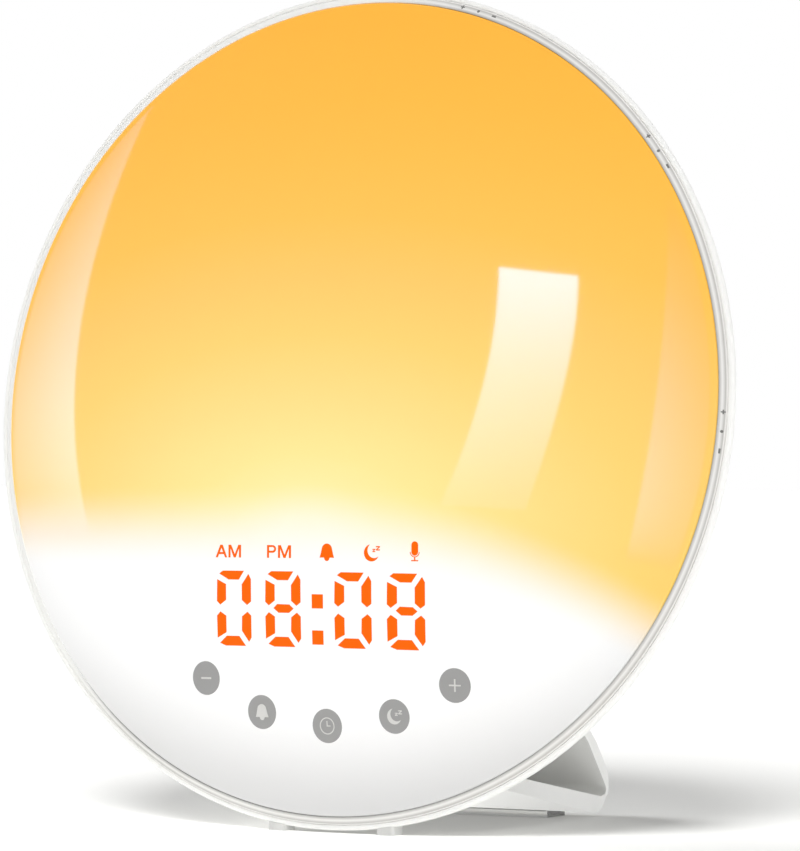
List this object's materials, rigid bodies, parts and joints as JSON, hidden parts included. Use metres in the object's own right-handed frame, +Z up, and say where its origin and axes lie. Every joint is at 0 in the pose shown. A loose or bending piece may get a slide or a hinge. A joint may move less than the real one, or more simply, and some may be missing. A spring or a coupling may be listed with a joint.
{
  "type": "sunrise alarm clock",
  "caption": "Round wake-up lamp and clock with a glowing domed front, orange digital time, printed touch keys, side rocker keys and a clip-on stand.",
  "frame": {"origin": "on the ground under the middle of the clock and its stand", "axes": "+Z up, the domed face looks along -Y, +X to the viewer's right"},
  "size_m": [0.176, 0.078, 0.1756],
  "materials": {
    "opal_diffuser": "opal, glossy, lit from behind",
    "lit_segments": "lit orange segments",
    "grey_print": "printed ink",
    "clear_acrylic": "clear, polished bevel",
    "white_shell": "satin moulded",
    "clear_silicone": "clear soft bumper",
    "white_stand": "satin moulded",
    "white_keys": "satin moulded",
    "reflector_white": "matt white reflector",
    "white_board": "white solder mask",
    "led_package": "moulded phosphor",
    "black_plastic": "moulded",
    "green_board": "green solder mask",
    "grey_foam": "soft foam",
    "zinc_steel": "zinc plated",
    "speaker_paper": "pressed paper",
    "ferrite": "sintered",
    "cell_steel": "nickel plated",
    "white_door": "satin moulded",
    "grey_button": "moulded",
    "grey_rubber": "matt rubber strip"
  },
  "bodies": {
    "housing": {"front_diffuser": "opal_diffuser", "display_digits": "lit_segments", "blank_segments": "opal_diffuser", "touch_keys": "grey_print", "clear_ring": "clear_acrylic", "rear_shell": "white_shell", "ring_feet": "clear_silicone", "light_tray": "reflector_white", "led_board": "white_board", "sunrise_leds": "led_package", "display_hood": "reflector_white", "display_module": "black_plastic", "display_board": "green_board", "touch_board": "green_board", "touch_foam": "grey_foam", "touch_screws": "zinc_steel", "lamp_screws": "zinc_steel", "main_board": "green_board", "board_parts": "black_plastic", "reset_switch": "black_plastic", "power_jack": "black_plastic", "board_screws": "zinc_steel", "speaker_basket": "zinc_steel", "speaker_cone": "speaker_paper", "speaker_magnet": "ferrite", "speaker_gasket": "grey_foam", "speaker_screws": "zinc_steel", "key_boards": "green_board", "key_switches": "black_plastic", "coin_cell": "cell_steel", "housing_screws": "zinc_steel"},
    "stand": {"stand": "white_stand", "stand_foot": "grey_rubber"},
    "reset_button": {"reset_button": "grey_button"},
    "battery_door": {"battery_door": "white_door"},
    "side_key_top": {"side_key_top": "white_keys"},
    "side_key_middle": {"side_key_middle": "white_keys"},
    "side_key_lower": {"side_key_lower": "white_keys"}
  },
  "joints": [
    {"name": "stand_slide", "type": "slide", "parent": "housing", "child": "stand", "axis": [0, 0.9945, -0.1045], "range_m": [0, 0.012]},
    {"name": "side_key_top_rock", "type": "hinge", "parent": "housing", "child": "side_key_top", "pos_m": [0.0245, -0.00968, 0.16235], "axis": [0, -0.9945, 0.1045], "range_deg": [-2.5, 2.5], "stiffness_Nm_per_rad": 0.05},
    {"name": "side_key_middle_rock", "type": "hinge", "parent": "housing", "child": "side_key_middle", "pos_m": [0.06414, -0.01269, 0.13371], "axis": [0, -0.9945, 0.1045], "range_deg": [-2.5, 2.5], "stiffness_Nm_per_rad": 0.05},
    {"name": "side_key_lower_rock", "type": "hinge", "parent": "housing", "child": "side_key_lower", "pos_m": [0.07917, -0.01799, 0.08324], "axis": [0, -0.9945, 0.1045], "range_deg": [-2.5, 2.5], "stiffness_Nm_per_rad": 0.05},
    {"name": "reset_push", "type": "slide", "parent": "housing", "child": "reset_button", "axis": [0, -0.9945, 0.1045], "range_m": [0, 0.0007], "stiffness_N_per_m": 600},
    {"name": "battery_door_turn", "type": "hinge", "parent": "housing", "child": "battery_door", "pos_m": [-0.02, 0.0098, 0.06739], "axis": [0, 0.9945, -0.1045], "range_deg": [0, 45]}
  ]
}
